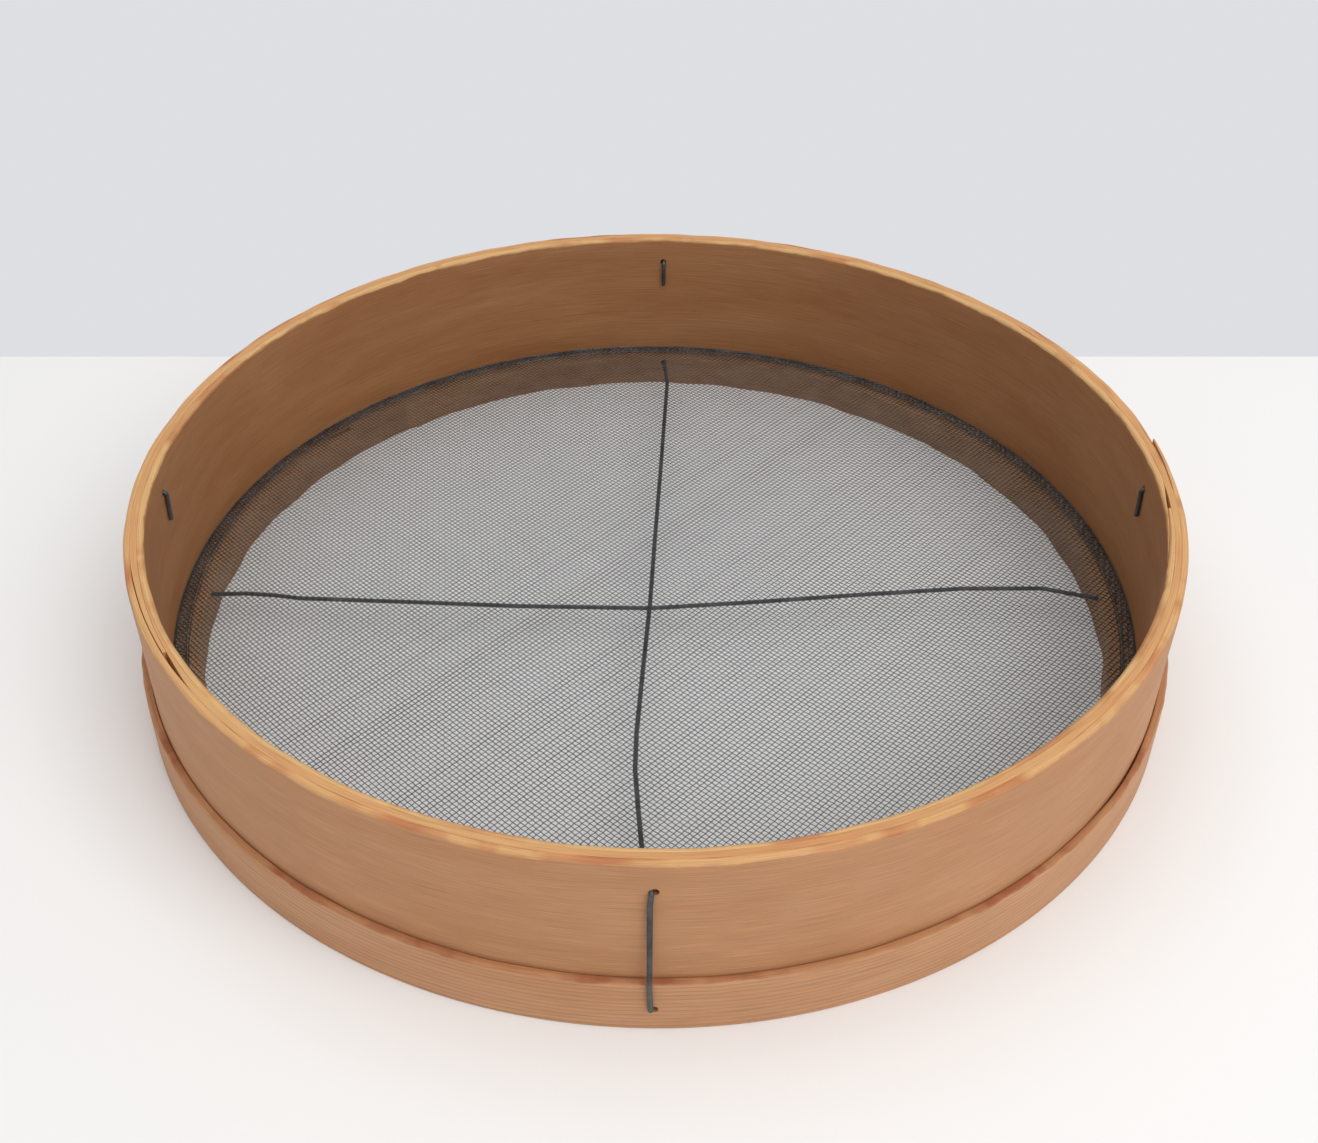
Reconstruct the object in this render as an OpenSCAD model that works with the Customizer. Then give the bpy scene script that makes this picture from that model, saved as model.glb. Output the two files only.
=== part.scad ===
// Round flour sieve: a tall hoop bent from thin wood, a wire cloth gripped in its foot,
// a low band round the foot and two support wires laced through the walls.
// Millimetres, +Z up, origin on the ground at the middle of the sieve.
// The front is towards -Y.

/* [Tall hoop] */
// Outer diameter of the tall hoop
hoop_d = 360; // [280:1:460]
// Height of the tall hoop
hoop_h = 66.5; // [55:0.5:110]
// Thickness of one bent layer of the hoop
layer_t = 2.25; // [1.6:0.05:3]
// Worn rounding of the rim's two edges
rim_round = 1.5; // [0.4:0.1:1.6]

/* [Lower band] */
// Height of the band round the foot
band_h = 20; // [16:0.5:30]
// Thickness of the band
band_t = 2.9; // [2:0.1:4]

/* [Clamp ring] */
// Height of the ring that carries the cloth
ring_h = 12.6; // [12.4:0.1:15]
// Thickness of one of its two layers
ring_layer_t = 4.4; // [3:0.1:6]

/* [Wire cloth] */
// Spacing of the real cloth's warp wires
warp_pitch = 1.6; // [1.55:0.05:3]
// Spacing of the real cloth's weft wires
weft_pitch = 1.8; // [1.75:0.05:3]
// How many real wires one drawn wire stands for
drawn_every = 11; // [11:1:30]
// Thickness of a drawn wire
cloth_wire_d = 0.7; // [0.3:0.1:1]
// Turn of the weave, seen from above
weave_turn = 47.5; // [0:0.5:90]
// Thickness of the folded cloth at the edge
fold_t = 0.6; // [0.4:0.1:0.8]

/* [Support wires] */
// Thickness of the support wire
wire_d = 1.6; // [1:0.1:1.8]
// Diameter of the holes that it is laced through
hole_d = 2.6; // [2.4:0.1:2.8]
// Depth of the upper holes below the rim
upper_hole_drop = 10.7; // [8:0.1:16]
// Height of the lower holes on the band
lower_hole_z = 9; // [8:0.1:9.2]
// Length of the ends that are bent down inside
tail_l = 10.8; // [6:0.1:15]

/* [Hidden] */
$fn = 144;

// Radii of the walls, from the outside inwards
hoop_r = hoop_d / 2;
hoop_in_r = hoop_r - 3 * layer_t;
band_r = hoop_r + band_t;
ring_out_r = hoop_in_r - fold_t;
ring_seam_r = ring_out_r - ring_layer_t;
ring_in_r = ring_seam_r - ring_layer_t;

// Halved laps of the bent layers: where each starts and ends round the hoop
inner_lap = [-18.5, -7.5];
middle_lap = [-163, -147];
outer_lap = [-6, 6];
band_lap = [100, 114];
ring_inner_lap = [128, 140];
ring_outer_lap = [52, 64];
lap_gap = 0.2;
lap_steps = 8;
strip_turn = 45;

// Rounded edges of the low parts
band_round = 1.0;
band_foot_round = 0.5;
ring_round = 0.8;

// Holes for the support wires: where they sit round the hoop, upper and lower
front_at = [-90.7, -90.7];
back_at = [88.2, 87.9];
left_at = [179.8, 180.2];
right_at = [0.8, -1];
upper_hole_z = hoop_h - upper_hole_drop;
inner_hole_z = ring_h - 2.3;
hole_slope = atan((inner_hole_z - lower_hole_z) / (band_r - ring_in_r));

// The wire stands this far off the wood that it runs along
wire_r = wire_d / 2;
wire_gap = 0.05;
bend_r = 1.2;
bend_steps = 4;
wire_sides = 8;

// Where the support wires run under the cloth, from hole to hole: x, y, drop below the cloth
wire_under_cloth = wire_r;
wire_under_wire = wire_r + wire_d + wire_gap;
front_back_route = [
    [-2.6, -150, wire_under_cloth], [-4.8, -124, wire_under_cloth],
    [-6.8, -92, wire_under_cloth], [-6.4, -76, wire_under_cloth],
    [-1.5, -8.5, wire_under_cloth], [3.5, 80, wire_under_cloth],
    [7, 144, wire_under_cloth]
];
left_right_route = [
    [-151, -1, 1.6], [-130, -4.5, 1.0], [-50, -8, 1.8], [-1.5, -8.5, wire_under_wire],
    [76, -2, 1.4], [114, 1, 0.9], [144, 1.5, 1.2]
];

// Wire cloth: the drawn wires lie on the clamp ring and stop at the folded edge
fold_in_r = ring_seam_r + 0.2;
cloth_reach = fold_in_r - 0.5;
fold_bottom = 3;
weave_gap = 0.02;
weave_lift = cloth_wire_d / 2 + weave_gap / 2;
cloth_mid_z = ring_h + cloth_wire_d / 2 + weave_lift;
cloth_sides = 6;
warp_step = warp_pitch * drawn_every;
weft_step = weft_pitch * drawn_every;

// Colours as seen on the old wood and wire
hoop_wood = [0.78, 0.56, 0.40];
inner_wood = [0.68, 0.46, 0.28];
middle_wood = [0.82, 0.62, 0.40];
band_wood = [0.76, 0.54, 0.41];
ring_wood = [0.62, 0.44, 0.27];
cloth_steel = [0.30, 0.31, 0.32];
support_steel = [0.27, 0.27, 0.29];

function polar(r, a, z) = [r * cos(a), r * sin(a), z];
function unit(v) = v / norm(v);

// Direction of a path at its point i
function along(path, i) =
    unit(path[min(i + 1, len(path) - 1)] - path[max(i - 1, 0)]);

// One ring of points round the path, with its first point square to the direction across
function tube_ring(path, i, across, r, sides) =
    let (t = along(path, i), u = unit(across - t * (across * t)), v = cross(t, u))
    [for (k = [0 : sides - 1]) path[i] + r * (cos(360 * k / sides) * u + sin(360 * k / sides) * v)];

// A round wire swept along a path, as one closed skin of triangles
module tube(path, across, r, sides) {
    last = (len(path) - 1) * sides;
    points = [for (i = [0 : len(path) - 1]) each tube_ring(path, i, across, r, sides)];
    walls = [
        for (i = [0 : len(path) - 2], k = [0 : sides - 1])
            let (a = i * sides + k, b = i * sides + (k + 1) % sides)
            each [[a, a + sides, b + sides], [a, b + sides, b]]
    ];
    near_end = [for (k = [1 : sides - 2]) [0, k, k + 1]];
    far_end = [for (k = [1 : sides - 2]) [last, last + k + 1, last + k]];
    polyhedron(points = points, faces = concat(walls, near_end, far_end), convexity = 10);
}

// Upright section of a bent strip, with its upper corners and its foot rounded
module strip_section(t, h, inside_round, outside_round, foot_round) {
    intersection() {
        square([t, h]);
        difference() {
            square([t, h]);
            corner_cut(0, h, inside_round, 1, -1);
            corner_cut(t, h, outside_round, -1, -1);
            corner_cut(t, 0, foot_round, -1, 1);
        }
    }
}

// What rounding a corner at (x, y) takes away; sx and sy point into the section
module corner_cut(x, y, r, sx, sy) {
    if (r > 0)
        translate([x, y])
            difference() {
                translate([sx < 0 ? -r : -1, sy < 0 ? -r : -1]) square([r + 1, r + 1]);
                translate([sx * r, sy * r]) circle(r);
            }
}

// A strip bent into a ring
module bent_strip(r_in, t, h, inside_round = 0, outside_round = 0, foot_round = 0) {
    rotate([0, 0, strip_turn])
        rotate_extrude()
            translate([r_in, 0])
                strip_section(t, h, inside_round, outside_round, foot_round);
}

// The thin gap between the two halved ends of a bent strip, where they lap
module lap_cut(r_in, t, h, lap) {
    r_near = r_in + (t - lap_gap) / 2;
    r_far = r_near + lap_gap;
    mouth_turn = atan(lap_gap / r_in);
    translate([0, 0, -1])
        linear_extrude(height = h + 2)
            polygon(concat(
                [polar_2d(r_in - 1, lap[0])],
                lap_line(r_far, lap[0], lap[1] - mouth_turn),
                [polar_2d(r_in + t + 1, lap[1] - mouth_turn), polar_2d(r_in + t + 1, lap[1])],
                lap_line(r_near, lap[1], lap[0] + mouth_turn),
                [polar_2d(r_in - 1, lap[0] + mouth_turn)]
            ));
}

function lap_line(r, from, to) =
    [for (i = [0 : lap_steps]) polar_2d(r, from + (to - from) * i / lap_steps)];
function polar_2d(r, a) = [r * cos(a), r * sin(a)];

// One upper hole, straight through the tall hoop
module upper_hole(at) {
    rotate([0, 0, at])
        translate([hoop_in_r - 2, 0, upper_hole_z])
            rotate([0, 90, 0])
                cylinder(h = 3 * layer_t + 4, r = hole_d / 2);
}

// One lower hole, rising inwards through the band, the hoop, the cloth and the ring
module lower_hole(at) {
    rotate([0, 0, at])
        translate([band_r, 0, lower_hole_z])
            rotate([0, hole_slope - 90, 0])
                translate([0, 0, -4])
                    cylinder(h = band_r - ring_in_r + 8, r = hole_d / 2);
}

module upper_holes() {
    for (at = [front_at, back_at, left_at, right_at]) upper_hole(at[0]);
}

module lower_holes() {
    for (at = [front_at, back_at, left_at, right_at]) lower_hole(at[1]);
}

module hoop_inner_layer() {
    color(inner_wood)
        difference() {
            bent_strip(hoop_in_r, layer_t, hoop_h, inside_round = rim_round);
            lap_cut(hoop_in_r, layer_t, hoop_h, inner_lap);
            upper_holes();
            lower_holes();
        }
}

module hoop_middle_layer() {
    color(middle_wood)
        difference() {
            bent_strip(hoop_in_r + layer_t, layer_t, hoop_h);
            lap_cut(hoop_in_r + layer_t, layer_t, hoop_h, middle_lap);
            upper_holes();
            lower_holes();
        }
}

module hoop_outer_layer() {
    color(hoop_wood)
        difference() {
            bent_strip(hoop_in_r + 2 * layer_t, layer_t, hoop_h, outside_round = rim_round);
            lap_cut(hoop_in_r + 2 * layer_t, layer_t, hoop_h, outer_lap);
            upper_holes();
            lower_holes();
        }
}

module lower_band() {
    color(band_wood)
        difference() {
            bent_strip(hoop_r, band_t, band_h,
                outside_round = band_round, foot_round = band_foot_round);
            lap_cut(hoop_r, band_t, band_h, band_lap);
            lower_holes();
        }
}

module ring_inner_layer() {
    color(ring_wood)
        difference() {
            bent_strip(ring_in_r, ring_layer_t, ring_h, inside_round = ring_round);
            lap_cut(ring_in_r, ring_layer_t, ring_h, ring_inner_lap);
            lower_holes();
        }
}

module ring_outer_layer() {
    color(ring_wood)
        difference() {
            bent_strip(ring_seam_r, ring_layer_t, ring_h);
            lap_cut(ring_seam_r, ring_layer_t, ring_h, ring_outer_lap);
            lower_holes();
        }
}

// The cloth's folded edge: it lies on the ring's outer layer and turns down outside it
module cloth_folded_edge() {
    color(cloth_steel)
        difference() {
            union() {
                rotate_extrude()
                    translate([fold_in_r, ring_h]) square([hoop_in_r - fold_in_r, fold_t]);
                rotate_extrude()
                    translate([ring_out_r, fold_bottom])
                        square([fold_t, ring_h + fold_t - fold_bottom]);
            }
            lower_holes();
        }
}

// Places of the drawn wires of one set, counted from the middle of the cloth
function wire_places(step) =
    let (half = floor(cloth_reach / step)) [for (i = [-half : half]) i * step];

// Height of a wire where it crosses another: over and under by turns
function crossing_z(i, j, over) =
    cloth_mid_z + weave_lift * (((i + j) % 2 == 0) == over ? 1 : -1);

// One drawn wire at the given place, woven through the wires that cross it
module woven_wire(i, place, cross_places, over) {
    reach = sqrt(pow(cloth_reach, 2) - pow(place, 2));
    crossed = [for (j = [0 : len(cross_places) - 1]) if (abs(cross_places[j]) < reach) j];
    if (len(crossed) > 0) {
        first = crossed[0];
        last = crossed[len(crossed) - 1];
        path = concat(
            [[-reach, place, crossing_z(i, first, over)]],
            [for (j = crossed) [cross_places[j], place, crossing_z(i, j, over)]],
            [[reach, place, crossing_z(i, last, over)]]
        );
        tube(path, [0, 0, 1], cloth_wire_d / 2, cloth_sides);
    }
}

// The warp runs across the weave's own x direction, the weft along it
module cloth_warp_wires() {
    places = wire_places(warp_step);
    color(cloth_steel)
        rotate([0, 0, weave_turn + 90])
            for (i = [0 : len(places) - 1])
                woven_wire(i, -places[i], wire_places(weft_step), true);
}

module cloth_weft_wires() {
    places = wire_places(weft_step);
    color(cloth_steel)
        rotate([0, 0, weave_turn])
            for (i = [0 : len(places) - 1])
                woven_wire(i, places[i], wire_places(warp_step), false);
}

// Points round a bend of the support wire, in the upright plane at the angle at
function bend(r, z, at, from, to) = [
    for (s = [0 : bend_steps])
        let (turn = from + (to - from) * s / bend_steps)
        polar(r + bend_r * cos(turn), at, z + bend_r * sin(turn))
];

// One laced end: from the bent tail inside, out through the upper hole, down the outside,
// and in again through the lower hole to the inner face of the clamp ring
function laced_end(at) =
    let (
        tail_r = hoop_in_r - wire_r - wire_gap,
        face_r = hoop_r + wire_r + wire_gap,
        band_face_r = band_r + wire_r + wire_gap
    )
    concat(
        [polar(tail_r, at[0], upper_hole_z - tail_l)],
        bend(tail_r + bend_r, upper_hole_z - bend_r, at[0], 180, 90),
        bend(face_r - bend_r, upper_hole_z - bend_r, at[0], 90, 0),
        [polar(band_face_r, (at[0] + 3 * at[1]) / 4, band_h)],
        bend(band_face_r - bend_r, lower_hole_z + bend_r, at[1], 0, -90),
        [polar(ring_in_r - 1, at[1], inner_hole_z)]
    );

function reversed(path) = [for (i = [len(path) - 1 : -1 : 0]) path[i]];
function under_cloth(route) = [for (p = route) [p[0], p[1], ring_h - p[2]]];

module support_wire_front_back() {
    path = concat(laced_end(front_at), under_cloth(front_back_route),
        reversed(laced_end(back_at)));
    color(support_steel) tube(path, [1, 0, 0], wire_r, wire_sides);
}

module support_wire_left_right() {
    path = concat(laced_end(left_at), under_cloth(left_right_route),
        reversed(laced_end(right_at)));
    color(support_steel) tube(path, [0, 1, 0], wire_r, wire_sides);
}

hoop_inner_layer();
hoop_middle_layer();
hoop_outer_layer();
lower_band();
ring_inner_layer();
ring_outer_layer();
cloth_warp_wires();
cloth_weft_wires();
cloth_folded_edge();
support_wire_front_back();
support_wire_left_right();
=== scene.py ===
import math

import bpy
import numpy as np
from mathutils import Matrix, Vector


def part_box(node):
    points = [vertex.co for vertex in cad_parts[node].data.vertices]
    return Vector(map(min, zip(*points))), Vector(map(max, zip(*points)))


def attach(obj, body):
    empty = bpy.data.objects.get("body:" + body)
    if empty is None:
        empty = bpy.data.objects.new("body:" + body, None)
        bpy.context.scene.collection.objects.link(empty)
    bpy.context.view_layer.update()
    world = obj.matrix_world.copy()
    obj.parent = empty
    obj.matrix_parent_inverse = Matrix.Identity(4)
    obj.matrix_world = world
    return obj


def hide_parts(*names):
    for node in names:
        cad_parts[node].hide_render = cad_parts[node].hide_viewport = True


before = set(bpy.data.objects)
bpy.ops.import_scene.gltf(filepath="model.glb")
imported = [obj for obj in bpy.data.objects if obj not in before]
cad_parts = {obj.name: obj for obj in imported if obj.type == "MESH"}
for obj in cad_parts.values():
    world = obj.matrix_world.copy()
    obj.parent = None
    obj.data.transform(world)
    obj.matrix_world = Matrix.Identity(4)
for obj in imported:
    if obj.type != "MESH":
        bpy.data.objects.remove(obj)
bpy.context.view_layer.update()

MM = 0.001


# Sizes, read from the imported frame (metres)

def outer_radius(node):
    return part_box(node)[1].x


HOOP_R = outer_radius("hoop_outer_layer")
LAYER_T = HOOP_R - outer_radius("hoop_middle_layer")
MIDDLE_R = HOOP_R - LAYER_T
INNER_R = MIDDLE_R - LAYER_T
WALL_R = INNER_R - LAYER_T
HOOP_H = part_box("hoop_outer_layer")[1].z
BAND_R = outer_radius("lower_band")
BAND_T = BAND_R - HOOP_R
BAND_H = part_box("lower_band")[1].z
RING_R = outer_radius("ring_outer_layer")
RING_SEAM_R = outer_radius("ring_inner_layer")
RING_T = RING_R - RING_SEAM_R
RING_IN_R = RING_SEAM_R - RING_T
RING_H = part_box("ring_outer_layer")[1].z

# Where the bent strips lap, in degrees round the hoop (0 at the right, 90 at the back)
INNER_LAP = (-18.5, -7.5)
MIDDLE_LAP = (-163, -147)
OUTER_LAP = (-6, 6)
BAND_LAP = (100, 114)
RING_INNER_LAP = (128, 140)
RING_OUTER_LAP = (52, 64)

# Support wires and the holes that they are laced through
WIRE_R = 0.8 * MM
WIRE_GAP = 0.05 * MM
BEND_R = 1.2 * MM
HOLE_R = 1.3 * MM
UPPER_HOLE_Z = HOOP_H - 10.7 * MM
LOWER_HOLE_Z = 9 * MM
INNER_HOLE_Z = RING_H - 2.3 * MM
TAIL_L = 10.8 * MM
HOLES_AT = {"front": (-90.7, -90.7), "back": (88.2, 87.9), "left": (179.8, 180.2), "right": (0.8, -1)}

# The wire cloth
WARP_PITCH = 1.587 * MM
WEFT_PITCH = 1.814 * MM
CLOTH_WIRE_R = 0.155 * MM
WEAVE_TURN = math.radians(47.5)
CLOTH_Z = RING_H + 0.33 * MM
CLOTH_REACH = WALL_R - 0.5 * MM
FOLD_IN_R = RING_SEAM_R + 0.2 * MM


# Camera, as the photograph was taken

def place_camera():
    tilt_down = math.radians(38.62)
    data = bpy.data.cameras.new("camera")
    data.sensor_width = 36
    data.lens = 43.39
    data.shift_x = 0.0159
    data.shift_y = 0.0003
    data.clip_start = 0.01
    camera = bpy.data.objects.new("camera", data)
    camera.location = (-0.00585, -0.4551, 0.3840)
    camera.rotation_euler = (math.pi / 2 - tilt_down, 0, 0)
    bpy.context.scene.collection.objects.link(camera)
    bpy.context.scene.camera = camera


# Modelling helpers

def deselect_all():
    if bpy.context.mode != "OBJECT":
        bpy.ops.object.mode_set(mode="OBJECT")
    bpy.ops.object.select_all(action="DESELECT")


def pick(piece):
    deselect_all()
    piece.select_set(True)
    bpy.context.view_layer.objects.active = piece


def settle(piece):
    """Puts the object's place, turn and size into its mesh."""
    pick(piece)
    bpy.ops.object.transform_apply(location=True, rotation=True, scale=True)
    return piece


def select_edges(piece, wanted):
    """Selects the edges for which wanted(one end, other end) holds, in edit mode."""
    pick(piece)
    bpy.ops.object.mode_set(mode="EDIT")
    bpy.ops.mesh.select_mode(type="EDGE")
    bpy.ops.mesh.select_all(action="DESELECT")
    bpy.ops.object.mode_set(mode="OBJECT")
    points = piece.data.vertices
    for edge in piece.data.edges:
        one, other = edge.vertices
        edge.select = wanted(points[one].co, points[other].co)
    bpy.ops.object.mode_set(mode="EDIT")


def select_faces(piece, wanted):
    """Selects the faces for which wanted(face) holds, in edit mode."""
    pick(piece)
    bpy.ops.object.mode_set(mode="EDIT")
    bpy.ops.mesh.select_mode(type="FACE")
    bpy.ops.mesh.select_all(action="DESELECT")
    bpy.ops.object.mode_set(mode="OBJECT")
    for face in piece.data.polygons:
        face.select = wanted(face)
    bpy.ops.object.mode_set(mode="EDIT")


def apply_modifier(piece, kind, **settings):
    pick(piece)
    modifier = piece.modifiers.new(kind.lower(), kind)
    for name, value in settings.items():
        setattr(modifier, name, value)
    bpy.ops.object.modifier_apply(modifier=modifier.name)


def points_of(piece):
    flat = np.empty(len(piece.data.vertices) * 3)
    piece.data.vertices.foreach_get("co", flat)
    return flat.reshape(-1, 3).T


def reshape(piece, change):
    """Moves the piece's points: change takes their x, y and z and gives the new ones."""
    bpy.context.view_layer.update()
    moved = np.stack(change(*points_of(piece)), axis=1)
    piece.data.vertices.foreach_set("co", moved.ravel())
    piece.data.update()


def smooth(value, low, high):
    """0 below low, 1 above high, and an even rise between."""
    share = np.clip((value - low) / (high - low), 0, 1)
    return share * share * (3 - 2 * share)


def between(value, low, high, soft):
    return smooth(value, low, low + soft) * (1 - smooth(value, high - soft, high))


def wander(value, length, seed):
    """A slow uneven wave from about -1 to 1 that comes back every few lengths."""
    parts = ((1, 1.7), (0.61, 4.1), (0.37, 2.3))
    return sum(np.sin(value * 2 * math.pi / (length * f) + seed * p) for f, p in parts) / 2


def turn_at(degrees):
    """Radians from the front, of a place given in degrees round the hoop."""
    return math.radians(degrees + 90)


def finish_piece(piece, material, slot, *nodes, smooth_angle=40):
    pick(piece)
    bpy.ops.object.shade_smooth_by_angle(angle=math.radians(smooth_angle))
    piece.data.materials.clear()
    piece.data.materials.append(material)
    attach(piece, "root")
    if nodes:
        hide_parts(*nodes)
    return piece


# Materials

def add(tree, kind, *inputs, out=0, **settings):
    """A shader node whose first inputs are linked or set in order; None leaves one as it is."""
    node = tree.nodes.new("ShaderNode" + kind)
    for name, value in settings.items():
        setattr(node, name, value)
    for socket, value in zip(node.inputs, inputs):
        if isinstance(value, bpy.types.NodeSocket):
            tree.links.new(value, socket)
        elif value is not None:
            socket.default_value = value
    return node.outputs[out]


def maths(tree, operation, *inputs):
    return add(tree, "Math", *inputs, operation=operation)


def blend(tree, share, one, other, how="MIX"):
    node = tree.nodes.new("ShaderNodeMix")
    node.data_type = "RGBA"
    node.blend_type = how
    for index, value in ((0, share), (6, one), (7, other)):
        if isinstance(value, bpy.types.NodeSocket):
            tree.links.new(value, node.inputs[index])
        else:
            node.inputs[index].default_value = value
    return node.outputs[2]


def spread(tree, value, low, high, new_low=0.0, new_high=1.0, how="LINEAR"):
    return add(tree, "MapRange", value, low, high, new_low, new_high, interpolation_type=how)


def cloudy(tree, place, scale, detail=2.0, roughness=0.5, distortion=0.0):
    node = tree.nodes.new("ShaderNodeTexNoise")
    tree.links.new(place, node.inputs["Vector"])
    node.inputs["Scale"].default_value = scale
    node.inputs["Detail"].default_value = detail
    node.inputs["Roughness"].default_value = roughness
    node.inputs["Distortion"].default_value = distortion
    return node.outputs["Fac"]


def stretched(tree, place, scale, shift=(0, 0, 0)):
    return add(tree, "Mapping", place, shift, (0, 0, 0), scale)


def group(name, inputs, outputs):
    """An empty node group with the named inputs and outputs."""
    tree = bpy.data.node_groups.new(name, "ShaderNodeTree")
    for socket, kind, value in inputs:
        made = tree.interface.new_socket(socket, in_out="INPUT", socket_type="NodeSocket" + kind)
        if value is not None:
            made.default_value = value
    for socket, kind in outputs:
        tree.interface.new_socket(socket, in_out="OUTPUT", socket_type="NodeSocket" + kind)
    return tree, tree.nodes.new("NodeGroupInput").outputs, tree.nodes.new("NodeGroupOutput").inputs


def use(tree, shared, **values):
    """A node for a shared group, with its inputs linked or set by name (spaces as _)."""
    node = tree.nodes.new("ShaderNodeGroup")
    node.node_tree = shared
    for name, value in values.items():
        socket = node.inputs[name.replace("_", " ")]
        if isinstance(value, bpy.types.NodeSocket):
            tree.links.new(value, socket)
        else:
            socket.default_value = value
    return node.outputs


def make_grain_group():
    """Growth lines, fibres and patches of wood, laid along u of the strip's own map."""
    tree, given, made = group(
        "wood grain",
        [("Place", "Vector", None), ("Line spacing", "Float", 0.001), ("Uneven", "Float", 1.0),
         ("Seed", "Float", 0.0)],
        [("Late wood", "Float"), ("Fibre", "Float"), ("Patch", "Float"), ("Fleck", "Float")])
    u, w, _ = [add(tree, "SeparateXYZ", given["Place"], out=i) for i in range(3)]
    at = add(tree, "CombineXYZ", u, w, given["Seed"])
    drift = cloudy(tree, stretched(tree, at, (2.2, 6, 1)), 1, 1)
    ripple = cloudy(tree, stretched(tree, at, (28, 130, 1)), 1, 2)
    moved = maths(tree, "ADD", w, maths(tree, "MULTIPLY", drift, 0.012))
    moved = maths(tree, "ADD", moved, maths(tree, "MULTIPLY", ripple, 0.0009))
    count = maths(tree, "DIVIDE", moved, given["Line spacing"])
    tone_at = add(tree, "CombineXYZ", maths(tree, "MULTIPLY", u, 1.2), maths(tree, "MULTIPLY", count, 0.45),
                  given["Seed"])
    tone = cloudy(tree, tone_at, 1, 1)
    crowding = maths(tree, "MULTIPLY", maths(tree, "MULTIPLY", tone, 2.2), given["Uneven"])
    count = maths(tree, "ADD", count, crowding)
    saw = maths(tree, "FRACT", count)
    rise = maths(tree, "POWER", saw, 2.6)
    fall = spread(tree, saw, 0.9, 1.0, 1.0, 0.0, "SMOOTHSTEP")
    strength_at = add(tree, "CombineXYZ", maths(tree, "MULTIPLY", u, 9.0), maths(tree, "FLOOR", count),
                      given["Seed"])
    strength = spread(tree, cloudy(tree, strength_at, 1, 1), 0.3, 0.7, 0.35, 1.0)
    late = maths(tree, "MULTIPLY", maths(tree, "MULTIPLY", rise, fall), strength)
    tree.links.new(late, made["Late wood"])
    fibre = cloudy(tree, stretched(tree, at, (55, 3600, 1)), 1, 3, 0.65)
    tree.links.new(fibre, made["Fibre"])
    patch = cloudy(tree, stretched(tree, at, (14, 60, 1)), 1, 3, 0.6, 0.4)
    tree.links.new(patch, made["Patch"])
    fleck = cloudy(tree, stretched(tree, at, (260, 1500, 1)), 1, 2, 0.6)
    tree.links.new(fleck, made["Fleck"])
    return tree


def new_material(name):
    material = bpy.data.materials.new(name)
    material.use_nodes = True
    tree = material.node_tree
    shader = tree.nodes["Principled BSDF"]
    return material, tree, shader


def wood(name, pale, dark, patch, spacing, uneven, seed, line=0.6, top=None):
    """Bare old wood. top is (lowest height of the worn edge, its pale colour, its red colour)."""
    material, tree, shader = new_material(name)
    place = add(tree, "UVMap", uv_map="grain")
    grain = use(tree, GRAIN, Place=place, Line_spacing=spacing, Uneven=uneven, Seed=seed)
    colour = blend(tree, spread(tree, grain["Patch"], 0.35, 0.7), pale, patch)
    if top:
        low, top_pale, top_red = top
        height = add(tree, "SeparateXYZ", add(tree, "TexCoord", out=3), out=2)
        seeded = add(tree, "CombineXYZ", add(tree, "SeparateXYZ", place, out=0), height, seed + 5.0)
        worn = cloudy(tree, stretched(tree, seeded, (60, 250, 1)), 1, 3, 0.6)
        edge = maths(tree, "ADD", height, spread(tree, worn, 0.3, 0.7, -0.0007, 0.0007))
        edge = spread(tree, edge, low, low + 0.0009, how="SMOOTHSTEP")
        red = spread(tree, cloudy(tree, stretched(tree, seeded, (24, 40, 1)), 1, 3, 0.6, 0.6), 0.5, 0.62)
        rim = blend(tree, red, top_pale, top_red)
        colour = blend(tree, edge, colour, rim)
    late = maths(tree, "MULTIPLY", grain["Late wood"], line)
    colour = blend(tree, late, colour, dark)
    fibre = spread(tree, grain["Fibre"], 0.3, 0.7, 0.80, 1.18)
    colour = blend(tree, 1.0, colour, add(tree, "CombineColor", fibre, fibre, fibre), "MULTIPLY")
    fleck = spread(tree, grain["Fleck"], 0.66, 0.74)
    colour = blend(tree, maths(tree, "MULTIPLY", fleck, 0.35), colour, dark)
    tree.links.new(colour, shader.inputs["Base Color"])
    tree.links.new(spread(tree, grain["Fibre"], 0.3, 0.7, 0.56, 0.72), shader.inputs["Roughness"])
    height = maths(tree, "ADD", maths(tree, "MULTIPLY", grain["Late wood"], 0.5),
                   maths(tree, "MULTIPLY", grain["Fibre"], 0.8))
    bump = tree.nodes.new("ShaderNodeBump")
    bump.inputs["Strength"].default_value = 0.35
    bump.inputs["Distance"].default_value = 0.12 * MM
    tree.links.new(height, bump.inputs["Height"])
    tree.links.new(bump.outputs["Normal"], shader.inputs["Normal"])
    shader.inputs["Specular IOR Level"].default_value = 0.35
    return material


def steel(name, dark, pale, scale, metallic, rough):
    """Dull drawn wire with darker and lighter stretches."""
    material, tree, shader = new_material(name)
    place = add(tree, "TexCoord", out=3)
    cloud = cloudy(tree, place, scale, 3, 0.6)
    colour = blend(tree, spread(tree, cloud, 0.35, 0.65), dark, pale)
    tree.links.new(colour, shader.inputs["Base Color"])
    tree.links.new(spread(tree, cloud, 0.3, 0.7, rough + 0.1, rough - 0.08), shader.inputs["Roughness"])
    shader.inputs["Metallic"].default_value = metallic
    return material


# Bent strips

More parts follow.
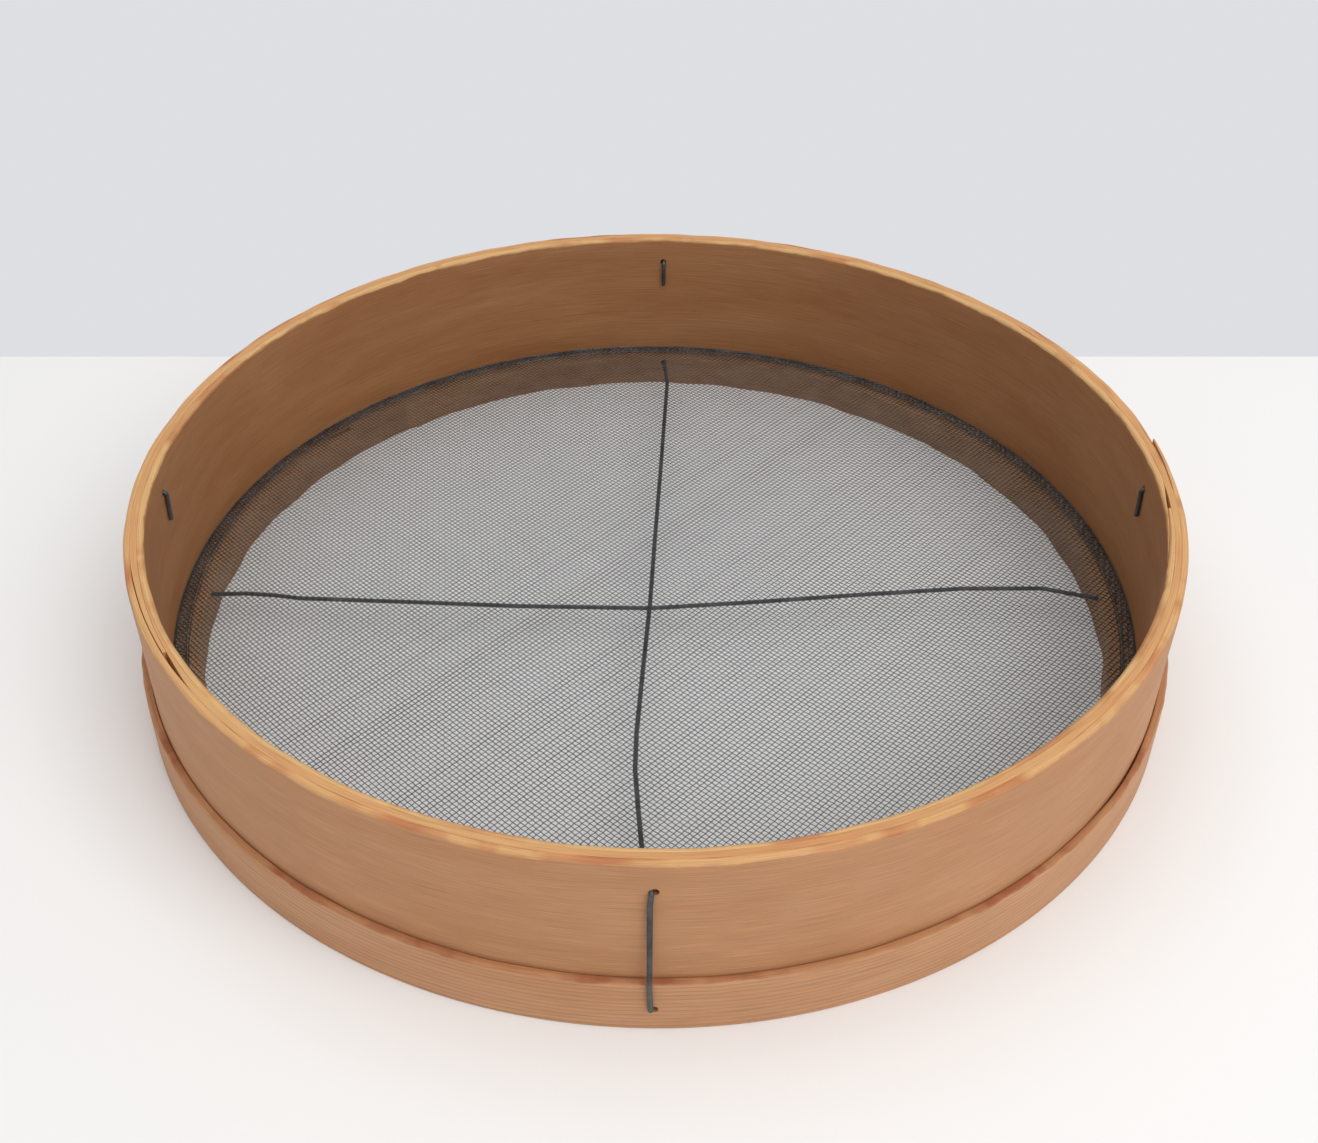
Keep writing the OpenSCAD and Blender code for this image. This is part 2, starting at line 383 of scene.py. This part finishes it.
def flat_strip(name, r, t, h, lap, inside_round, outside_round, foot_round=0.0, turns_back=0,
               slices=12, rows=11):
    """A strip cut to length and lying flat: x runs round the hoop from the front, y inwards from
    its outer face. Its two ends pass each other by the lap."""
    start = turn_at(lap[0] - 360 * turns_back) * r
    end = turn_at(lap[1] + 360 - 360 * turns_back) * r
    bpy.ops.mesh.primitive_cube_add(size=1, location=((start + end) / 2, t / 2, h / 2),
                                    scale=(end - start, t, h))
    strip = bpy.context.object
    strip.name = name
    settle(strip)
    select_faces(strip, lambda face: abs(face.normal.x) > 0.9)
    bpy.ops.mesh.delete(type="FACE")
    tiny = 0.1 * MM

    def round_off(at_y, at_z, size):
        if size:
            select_edges(strip, lambda a, b: abs(a.y - at_y) < tiny and abs(b.y - at_y) < tiny
                         and abs(a.z - at_z) < tiny and abs(b.z - at_z) < tiny)
            bpy.ops.mesh.bevel(offset=size, segments=5, profile=0.5, affect="EDGES")

    round_off(t, h, inside_round)
    round_off(0, h, outside_round)
    round_off(0, 0, foot_round)
    select_edges(strip, lambda a, b: abs(a.z - b.z) > h / 2)
    bpy.ops.mesh.subdivide(number_cuts=rows)
    for cuts in (99, slices - 1):
        select_edges(strip, lambda a, b: abs(a.x - b.x) > tiny)
        bpy.ops.mesh.subdivide(number_cuts=cuts)
    bpy.ops.object.mode_set(mode="OBJECT")
    return strip


def lay_grain(strip, t, h):
    """The strip's own map, in metres: u along it, w up its outer face, over its top and down inside."""
    x, y, z = points_of(strip)
    mesh = strip.data
    layer = mesh.uv_layers.new(name="grain")
    point = np.empty(len(mesh.loops), int)
    mesh.loops.foreach_get("vertex_index", point)
    normal = np.empty(len(mesh.polygons) * 3)
    mesh.polygons.foreach_get("normal", normal)
    size = np.empty(len(mesh.polygons), int)
    mesh.polygons.foreach_get("loop_total", size)
    under = np.repeat(normal.reshape(-1, 3)[:, 2] < -0.9, size)
    w = np.where(y < t / 2, z + y, 2 * h + y - z)[point]
    w = np.where(under, -y[point], w)
    layer.data.foreach_set("uv", np.stack([x[point], w], axis=1).ravel())


def thin_the_laps(strip, r, t, lap, turns_back, tip, proud):
    """Pares the two ends so that one lies on the other. tip is the share of the thickness that the
    outer end keeps at its tip, and proud is how far that tip stands off."""
    start = turn_at(lap[0] - 360 * turns_back) * r
    end = turn_at(lap[1] + 360 - 360 * turns_back) * r
    length = math.radians(lap[1] - lap[0]) * r
    slack = 0.06 * MM

    def pare(x, y, z):
        share = np.clip((x - (end - length)) / length, 0, 1)
        seam = t * (1 - (1 - tip) * share)
        on_end = x > end - length
        y = np.where(on_end, y * seam / t - proud * share ** 3, y)
        share = np.clip((x - start) / length, 0, 1)
        seam = t * (1 - (1 - tip) * share) + slack
        seam = seam * (1 - smooth(x, start + length, start + length * 1.5))
        y = np.where(x < start + 2 * length, t - (t - y) * (t - seam) / t, y)
        return x, y, z

    reshape(strip, pare)


def bend_round(strip, r):
    """Bends the flat strip round the axis: its front comes to -Y."""
    x = points_of(strip)[0]
    apply_modifier(strip, "SIMPLE_DEFORM", deform_method="BEND", deform_axis="Z",
                   angle=(x.max() - x.min()) / r)
    reshape(strip, lambda x, y, z: (x, y - r, z))


def close_ends(strip):
    pick(strip)
    bpy.ops.object.mode_set(mode="EDIT")
    bpy.ops.mesh.select_all(action="SELECT")
    bpy.ops.mesh.fill_holes(sides=0)
    bpy.ops.mesh.select_all(action="SELECT")
    bpy.ops.mesh.normals_make_consistent(inside=False)
    bpy.ops.object.mode_set(mode="OBJECT")


def make_hole_cutter():
    """All the drilled holes as one tool, a little ragged and each a little beside its wire."""
    tools = []
    sideways = {"front": 0.25, "back": 0.1, "left": 0.1, "right": 0.1}
    for side, (upper, lower) in HOLES_AT.items():
        for at, z_out, z_in, r_out in ((upper, UPPER_HOLE_Z, UPPER_HOLE_Z, HOOP_R),
                                       (lower, LOWER_HOLE_Z, INNER_HOLE_Z, BAND_R)):
            far, near = r_out + 3 * MM, RING_IN_R - 3 * MM
            rise = (z_in - z_out) / (BAND_R - RING_IN_R)
            at_turn = math.radians(at + sideways[side])
            bpy.ops.mesh.primitive_cylinder_add(vertices=20, radius=HOLE_R, depth=far - near)
            tool = bpy.context.object
            slope = math.atan(rise)
            middle = (far + near) / 2
            height = z_out + rise * (r_out - middle)
            tool.matrix_world = (Matrix.Rotation(at_turn, 4, "Z") @ Matrix.Translation((middle, 0, height))
                                 @ Matrix.Rotation(math.pi / 2 + slope, 4, "Y"))
            tools.append(settle(tool))
    deselect_all()
    for tool in tools:
        tool.select_set(True)
    bpy.context.view_layer.objects.active = tools[0]
    bpy.ops.object.join()
    cutter = bpy.context.object
    cutter.name = "hole_cutter"

    def rag(x, y, z):
        shift = np.random.default_rng(7).uniform(-0.07 * MM, 0.07 * MM, (3, len(x)))
        return x + shift[0], y + shift[1], z + shift[2]

    reshape(cutter, rag)
    return cutter


def drill(strip, cutter):
    apply_modifier(strip, "BOOLEAN", operation="DIFFERENCE", solver="EXACT", object=cutter)


def hoop_inner_strip(cutter):
    strip = flat_strip("hoop_inner_strip", INNER_R, LAYER_T, HOOP_H, INNER_LAP,
                       inside_round=1.5 * MM, outside_round=0.12 * MM)
    lay_grain(strip, LAYER_T, HOOP_H)
    thin_the_laps(strip, INNER_R, LAYER_T, INNER_LAP, 0, 0.5, 0.0)

    def wear(x, y, z):
        inside = smooth(y, LAYER_T * 0.5, LAYER_T)
        up = smooth(z, HOOP_H - 3 * MM, HOOP_H)
        z = z - up * (0.10 + 0.12 * wander(x, 0.05, 3)) * MM
        y = y - inside * 0.12 * MM * wander(x + z, 0.09, 5) * smooth(z, RING_H, 3 * RING_H)
        return x, y, z

    reshape(strip, wear)
    bend_round(strip, INNER_R)
    close_ends(strip)
    drill(strip, cutter)
    return finish_piece(strip, INNER_WOOD, "hoop_inner_wood", "hoop_inner_layer")


def hoop_middle_strip(cutter):
    strip = flat_strip("hoop_middle_strip", MIDDLE_R, LAYER_T, HOOP_H, MIDDLE_LAP,
                       inside_round=0.12 * MM, outside_round=0.12 * MM, rows=3)
    lay_grain(strip, LAYER_T, HOOP_H)
    thin_the_laps(strip, MIDDLE_R, LAYER_T, MIDDLE_LAP, 0, 0.5, 0.0)

    def wear(x, y, z):
        open_from, open_to = (turn_at(a) * MIDDLE_R for a in CRACK_AT)
        second_turn = x - 2 * math.pi * MIDDLE_R
        gap = between(x, open_from, open_to, 0.018) + between(second_turn, open_from, open_to, 0.018)
        y = y + 0.15 * MM * gap * (1 - y / LAYER_T) * smooth(z, HOOP_H - 22 * MM, HOOP_H)
        up = smooth(z, HOOP_H - 3 * MM, HOOP_H)
        z = z - up * (0.05 + 0.1 * wander(x, 0.04, 8)) * MM
        return x, y, z

    reshape(strip, wear)
    bend_round(strip, MIDDLE_R)
    close_ends(strip)
    drill(strip, cutter)
    return finish_piece(strip, MIDDLE_WOOD, "hoop_middle_wood", "hoop_middle_layer")


def hoop_outer_strip(cutter):
    strip = flat_strip("hoop_outer_strip", HOOP_R, LAYER_T, HOOP_H, OUTER_LAP, turns_back=1,
                       inside_round=0.12 * MM, outside_round=1.5 * MM, foot_round=0.3 * MM)
    lay_grain(strip, LAYER_T, HOOP_H)
    thin_the_laps(strip, HOOP_R, LAYER_T, OUTER_LAP, 1, 0.45, 0.5 * MM)

    def wear(x, y, z):
        open_from, open_to = (turn_at(a) * HOOP_R for a in CRACK_AT)
        gap = between(x, open_from, open_to, 0.018)
        y = y - 0.12 * MM * gap * smooth(z, HOOP_H - 22 * MM, HOOP_H)
        up = smooth(z, HOOP_H - 3 * MM, HOOP_H)
        z = z - up * (0.12 + 0.14 * wander(x, 0.045, 1)) * MM
        outside = 1 - smooth(y, 0, LAYER_T * 0.5)
        y = y + outside * 0.1 * MM * wander(x + z, 0.08, 2) * smooth(z, BAND_H, 1.5 * BAND_H)
        return x, y, z

    reshape(strip, wear)
    bend_round(strip, HOOP_R)
    close_ends(strip)
    drill(strip, cutter)
    return finish_piece(strip, OUTER_WOOD, "hoop_outer_wood", "hoop_outer_layer")


def foot_band(cutter):
    gap = 0.14 * MM
    strip = flat_strip("foot_band", BAND_R, BAND_T - gap, BAND_H, BAND_LAP, inside_round=0.5 * MM,
                       outside_round=1.0 * MM, foot_round=0.5 * MM, turns_back=1, rows=5)
    lay_grain(strip, BAND_T - gap, BAND_H)
    thin_the_laps(strip, BAND_R, BAND_T - gap, BAND_LAP, 1, 0.5, 0.0)

    def wear(x, y, z):
        up = smooth(z, BAND_H - 3 * MM, BAND_H)
        z = z - up * (0.12 + 0.16 * wander(x, 0.06, 4)) * MM
        open_from, open_to = (turn_at(a) * BAND_R for a in BAND_OPEN_AT)
        lean = between(x, open_from, open_to, 0.02) * smooth(z, 6 * MM, BAND_H)
        y = y - 0.45 * MM * lean * smooth(y, 0, BAND_T)
        y = y + (1 - smooth(y, 0, BAND_T / 2)) * up * 0.15 * MM * (1 + wander(x, 0.03, 9))
        return x, y, z

    reshape(strip, wear)
    bend_round(strip, BAND_R)
    close_ends(strip)
    drill(strip, cutter)
    return finish_piece(strip, BAND_WOOD, "band_wood", "lower_band")


def clamp_ring_strip(name, r, lap, inside_round, outside_round, node, cutter):
    strip = flat_strip(name, r, RING_T, RING_H, lap, inside_round, outside_round, slices=6, rows=2)
    lay_grain(strip, RING_T, RING_H)
    thin_the_laps(strip, r, RING_T, lap, 0, 0.5, 0.0)

    def wear(x, y, z):
        inside = smooth(y, RING_T * 0.5, RING_T)
        y = y - inside * 0.5 * MM * wander(x, 0.07, 6) * (node == "ring_inner_layer")
        y = y + (1 - smooth(y, 0, RING_T)) * 0.25 * MM * (node == "ring_inner_layer")
        return x, y, z

    reshape(strip, wear)
    bend_round(strip, r)
    close_ends(strip)
    drill(strip, cutter)
    return finish_piece(strip, RING_WOOD, "ring_wood", node)


# The wire cloth

def lay_of_cloth(x, y):
    """Where the even weave's point comes to lie: turned on the bias and a little bowed."""
    bow = 0.112 / HOOP_R
    across, along = math.cos(WEAVE_TURN), math.sin(WEAVE_TURN)
    x = x - bow * (across * x * y - along * y * y / 2)
    return x * across - y * along, x * along + y * across


def sag(x, y):
    """The old cloth isn't quite flat."""
    return 0.16 * MM * (np.sin(x / 0.031 + 1) * np.sin(y / 0.024 + 2) + np.sin(x / 0.013 + y / 0.045))


def woven_set(name, lengthways, first, last, outer_r, inner_r=0.0, lift=0.0, extra_turn=0.0):
    """Wires of one set, woven over and under the other set's. lengthways is True for the wires that
    run along the weave's y; first and last are the numbers of the wires to make."""
    half = outer_r + 6 * MM
    nx, ny = math.ceil(half / WARP_PITCH), math.ceil(half / WEFT_PITCH)
    bpy.ops.mesh.primitive_grid_add(x_subdivisions=2 * nx, y_subdivisions=2 * ny, size=1)
    wires = bpy.context.object
    wires.name = name
    wires.scale = (2 * nx * WARP_PITCH, 2 * ny * WEFT_PITCH, 1)
    settle(wires)
    step, number_axis = (WARP_PITCH, 0) if lengthways else (WEFT_PITCH, 1)
    pick(wires)
    bpy.ops.object.mode_set(mode="EDIT")
    bpy.ops.mesh.select_all(action="SELECT")
    bpy.ops.mesh.delete(type="ONLY_FACE")
    select_edges(wires, lambda a, b: abs(a[number_axis] - b[number_axis]) > step / 2)
    bpy.ops.mesh.delete(type="EDGE")
    bpy.ops.object.mode_set(mode="OBJECT")

    x, y, z = points_of(wires)
    i, j = np.round(x / WARP_PITCH), np.round(y / WEFT_PITCH)
    over = np.where((i + j) % 2 == 0, 1, -1) * (1 if lengthways else -1)
    number = i if lengthways else j
    px, py = lay_of_cloth(x, y)
    if extra_turn:
        c, s = math.cos(extra_turn), math.sin(extra_turn)
        px, py = px * c - py * s, px * s + py * c
    r = np.hypot(px, py)
    keep = (number >= first) & (number <= last) & (r < outer_r + step) & (r > inner_r - step)
    to = np.clip(r, inner_r, outer_r) / np.maximum(r, 1e-9)
    px, py = px * to, py * to
    off_ring = 1 - smooth(r, RING_IN_R - 0.012, RING_IN_R)
    pz = CLOTH_Z + lift + over * CLOTH_WIRE_R * 0.97 + sag(px, py) * off_ring
    reshape(wires, lambda *_: (px, py, pz))
    pick(wires)
    bpy.ops.object.mode_set(mode="EDIT")
    bpy.ops.mesh.select_mode(type="VERT")
    bpy.ops.mesh.select_all(action="DESELECT")
    bpy.ops.object.mode_set(mode="OBJECT")
    wires.data.vertices.foreach_set("select", ~keep)
    bpy.ops.object.mode_set(mode="EDIT")
    bpy.ops.mesh.delete(type="VERT")
    bpy.ops.object.mode_set(mode="OBJECT")
    return tubes_from_edges(wires, CLOTH_WIRE_R)


def tubes_from_edges(lines, r):
    """Turns a mesh of edges into round wire."""
    pick(lines)
    bpy.ops.object.convert(target="CURVE")
    lines.data.dimensions = "3D"
    lines.data.bevel_depth = r
    lines.data.bevel_resolution = 0
    lines.data.use_fill_caps = True
    bpy.ops.object.convert(target="MESH")
    return bpy.context.object


def make_cloth():
    many = 400
    for name, lengthways, first, last in (
            ("warp_wires_left", True, -many, -1), ("warp_wires_right", True, 0, many),
            ("weft_wires_front", False, -many, -1), ("weft_wires_back", False, 0, many)):
        wires = woven_set(name, lengthways, first, last, CLOTH_REACH)
        finish_piece(wires, CLOTH_STEEL, "cloth_steel",
                     "cloth_warp_wires" if lengthways else "cloth_weft_wires", smooth_angle=80)
    for name, lengthways in (("folded_warp_wires", True), ("folded_weft_wires", False)):
        wires = woven_set(name, lengthways, -many, many, CLOTH_REACH, FOLD_IN_R, lift=0.55 * MM,
                          extra_turn=math.radians(31))
        finish_piece(wires, CLOTH_STEEL, "cloth_steel", "cloth_folded_edge", smooth_angle=80)


# Support wires

def at_polar(r, degrees, z):
    a = math.radians(degrees)
    return Vector((r * math.cos(a), r * math.sin(a), z))


def bend_points(r, z, degrees, first, last, steps=6):
    for s in range(steps + 1):
        a = math.radians(first + (last - first) * s / steps)
        yield at_polar(r + BEND_R * math.cos(a), degrees, z + BEND_R * math.sin(a))


def laced_end(at, lean=0.0, sway=0.0):
    """One end of a support wire: tail inside, out of the upper hole, down the outside and in again.
    lean turns the tail's tip, and sway the run outside, in degrees round the hoop."""
    upper, lower = at
    tail_r = WALL_R - WIRE_R - WIRE_GAP
    face_r = HOOP_R + WIRE_R + WIRE_GAP
    band_face_r = BAND_R + WIRE_R + WIRE_GAP
    points = [at_polar(tail_r - 0.1 * MM, upper + lean, UPPER_HOLE_Z - TAIL_L),
              at_polar(tail_r, upper + lean * 0.4, UPPER_HOLE_Z - TAIL_L * 0.5)]
    points += bend_points(tail_r + BEND_R, UPPER_HOLE_Z - BEND_R, upper, 180, 90)
    points += bend_points(face_r - BEND_R, UPPER_HOLE_Z - BEND_R, upper + sway * 0.3, 90, 0)
    points += [at_polar(face_r + 0.1 * MM, upper + sway, UPPER_HOLE_Z - 4 * MM),
               at_polar(face_r + 0.6 * MM, (upper + lower) / 2 + sway, 1.9 * BAND_H),
               at_polar(band_face_r, (upper + 3 * lower) / 4 + sway, BAND_H),
               at_polar(band_face_r, lower + sway * 0.6, BAND_H * 0.7)]
    points += bend_points(band_face_r - BEND_R, LOWER_HOLE_Z + BEND_R, lower + sway * 0.3, 0, -90)
    points.append(at_polar(RING_IN_R - 1 * MM, lower, INNER_HOLE_Z))
    return points


def support_wire(name, first_end, route, last_end, node):
    under_cloth = [Vector((x, y, RING_H / MM - drop)) * MM for x, y, drop in route]
    points = [*first_end, *under_cloth, *reversed(last_end)]
    curve = bpy.data.curves.new(name, "CURVE")
    curve.dimensions = "3D"
    line = curve.splines.new("POLY")
    line.points.add(len(points) - 1)
    for point, place in zip(line.points, points):
        point.co = (*place, 1)
    curve.bevel_depth = WIRE_R
    curve.bevel_resolution = 3
    curve.use_fill_caps = True
    wire = bpy.data.objects.new(name, curve)
    bpy.context.scene.collection.objects.link(wire)
    pick(wire)
    bpy.ops.object.convert(target="MESH")
    wire = bpy.context.object
    return finish_piece(wire, SUPPORT_STEEL, "support_steel", node, smooth_angle=60)


def make_support_wires():
    front_back = [(-2.6, -150, 0.8), (-4.8, -124, 0.8), (-5.9, -108, 0.8), (-6.8, -92, 0.8), (-6.4, -76, 0.8),
                  (-4.1, -43, 0.8), (-1.5, -8.5, 0.8), (0.7, 32, 0.8), (3.5, 80, 0.8), (7, 144, 0.8)]
    left_right = [(-151, -1, 1.6), (-140, -2.4, 1.3), (-130, -4.5, 1.0), (-93, -6.2, 1.2), (-50, -8, 1.8),
                  (-1.5, -8.5, 2.45), (35, -5.8, 1.9), (76, -2, 1.4), (114, 1, 0.9), (144, 1.5, 1.2)]
    support_wire("front_back_wire", laced_end(HOLES_AT["front"], sway=-0.15), front_back,
                 laced_end(HOLES_AT["back"]), "support_wire_front_back")
    support_wire("left_right_wire", laced_end(HOLES_AT["left"], lean=0.4), left_right,
                 laced_end(HOLES_AT["right"], lean=-0.3), "support_wire_left_right")


# Floor, backdrop and light

def make_stage():
    wall_y = 0.1865
    deselect_all()
    bpy.ops.mesh.primitive_plane_add(size=6, location=(0, 0, 0))
    floor = bpy.context.object
    floor.name = "floor"
    material, _, shader = new_material("floor")
    shader.inputs["Base Color"].default_value = (0.9, 0.9, 0.9, 1)
    shader.inputs["Roughness"].default_value = 0.9
    floor.data.materials.append(material)
    bpy.ops.mesh.primitive_plane_add(size=4, location=(0, wall_y, 2), rotation=(math.pi / 2, 0, 0))
    wall = bpy.context.object
    wall.name = "backdrop"
    material, tree, _ = new_material("backdrop")
    pale = add(tree, "Emission", WALL_COLOUR, 1.0)
    clear = add(tree, "BsdfTransparent")
    behind = add(tree, "NewGeometry", out=6)
    out = tree.nodes["Material Output"]
    tree.links.new(add(tree, "MixShader", behind, pale, clear), out.inputs["Surface"])
    wall.data.materials.append(material)
    for kind in ("visible_diffuse", "visible_shadow", "visible_transmission", "visible_glossy"):
        setattr(wall, kind, False)


def area_lamp(name, place, size, power, colour=(1, 1, 1)):
    data = bpy.data.lights.new(name, "AREA")
    data.size = size
    data.energy = power
    data.color = colour
    lamp = bpy.data.objects.new(name, data)
    lamp.location = place
    lamp.rotation_euler = (-Vector(place)).to_track_quat("-Z", "Y").to_euler()
    bpy.context.scene.collection.objects.link(lamp)


def make_light():
    area_lamp("window", (0.9, -0.9, 1.5), 1.3, 16, (1.0, 0.99, 0.97))
    area_lamp("ceiling", (-0.2, 0.1, 1.9), 1.8, 12)
    world = bpy.data.worlds.new("room")
    bpy.context.scene.world = world
    world.use_nodes = True
    tree = world.node_tree
    background = tree.nodes["Background"]
    seen = add(tree, "LightPath", out=0)
    tree.links.new(blend(tree, seen, (0.5, 0.5, 0.5, 1), WALL_COLOUR), background.inputs["Color"])
    bpy.context.scene.view_settings.view_transform = "Standard"


# The sieve

WALL_COLOUR = (0.731, 0.739, 0.769, 1)
CRACK_AT = (-164, -142)
BAND_OPEN_AT = (-44, -27)

GRAIN = make_grain_group()
OUTER_WOOD = wood("hoop outer wood", (0.56, 0.29, 0.145, 1), (0.36, 0.15, 0.06, 1), (0.50, 0.24, 0.11, 1),
                  0.9 * MM, 0.8, 1.0, line=0.45,
                  top=(HOOP_H - 1.4 * MM, (0.68, 0.38, 0.16, 1), (0.52, 0.20, 0.08, 1)))
MIDDLE_WOOD = wood("hoop middle wood", (0.66, 0.38, 0.16, 1), (0.42, 0.18, 0.07, 1), (0.60, 0.27, 0.11, 1),
                   1.1 * MM, 0.8, 2.0, line=0.35)
INNER_WOOD = wood("hoop inner wood", (0.42, 0.20, 0.085, 1), (0.24, 0.09, 0.03, 1), (0.36, 0.15, 0.055, 1),
                  1.2 * MM, 0.8, 3.0, line=0.5,
                  top=(HOOP_H - 1.5 * MM, (0.70, 0.42, 0.18, 1), (0.55, 0.25, 0.10, 1)))
BAND_WOOD = wood("band wood", (0.60, 0.33, 0.175, 1), (0.34, 0.13, 0.055, 1), (0.55, 0.27, 0.13, 1),
                 1.7 * MM, 0.25, 4.0, line=0.8,
                 top=(BAND_H - 1.0 * MM, (0.50, 0.24, 0.11, 1), (0.36, 0.12, 0.05, 1)))
RING_WOOD = wood("ring wood", (0.38, 0.20, 0.09, 1), (0.20, 0.09, 0.04, 1), (0.30, 0.15, 0.07, 1),
                 1.4 * MM, 0.8, 5.0, line=0.5)
CLOTH_STEEL = steel("cloth steel", (0.045, 0.05, 0.055, 1), (0.10, 0.105, 0.11, 1), 90, 0.5, 0.5)
SUPPORT_STEEL = steel("support steel", (0.06, 0.062, 0.066, 1), (0.12, 0.122, 0.126, 1), 160, 0.6, 0.5)

place_camera()
make_stage()
make_light()
holes = make_hole_cutter()
hoop_inner_strip(holes)
hoop_middle_strip(holes)
hoop_outer_strip(holes)
foot_band(holes)
clamp_ring_strip("ring_inner_strip", RING_SEAM_R, RING_INNER_LAP, 0.8 * MM, 0.4 * MM,
                 "ring_inner_layer", holes)
clamp_ring_strip("ring_outer_strip", RING_R, RING_OUTER_LAP, 0.3 * MM, 0.3 * MM,
                 "ring_outer_layer", holes)
bpy.data.objects.remove(holes)
make_cloth()
make_support_wires()
